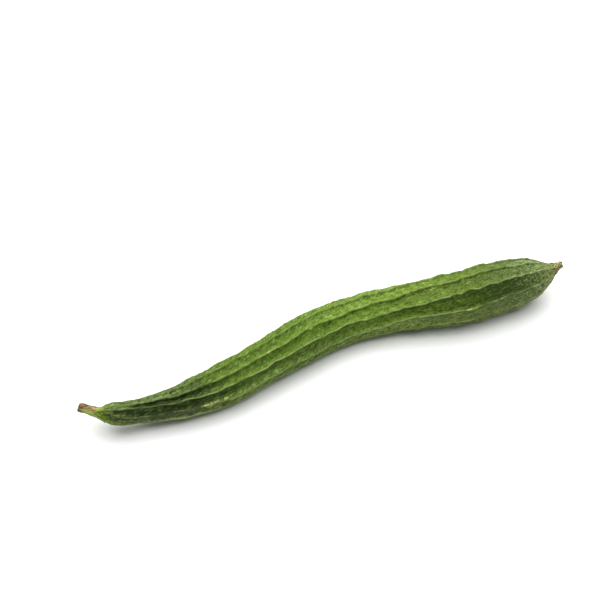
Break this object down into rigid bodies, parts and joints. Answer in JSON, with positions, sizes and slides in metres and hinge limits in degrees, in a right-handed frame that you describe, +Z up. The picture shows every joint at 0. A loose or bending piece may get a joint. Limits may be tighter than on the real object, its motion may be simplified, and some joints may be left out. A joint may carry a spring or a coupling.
{
  "type": "ridge gourd",
  "caption": "Picked ridge gourd lying on its side: a long, gently S-curved fruit with sharp lengthwise ridges, a short cut stem and a withered calyx at the blossom end.",
  "frame": {"origin": "on the surface that the gourd lies on, under the centre of its bounding box", "axes": "+X along the gourd from the stem to the blossom end, +Z up; its near side in the picture faces -Y"},
  "size_m": [0.4211, 0.0609, 0.0443],
  "materials": {
    "rind": "waxy green rind, darker at the neck",
    "stem": "lime green stalk with a dried brown cut end",
    "calyx": "dry, papery and straw coloured"
  },
  "bodies": {
    "root": {"fruit": "rind", "stem": "stem", "calyx": "calyx"}
  },
  "joints": []
}
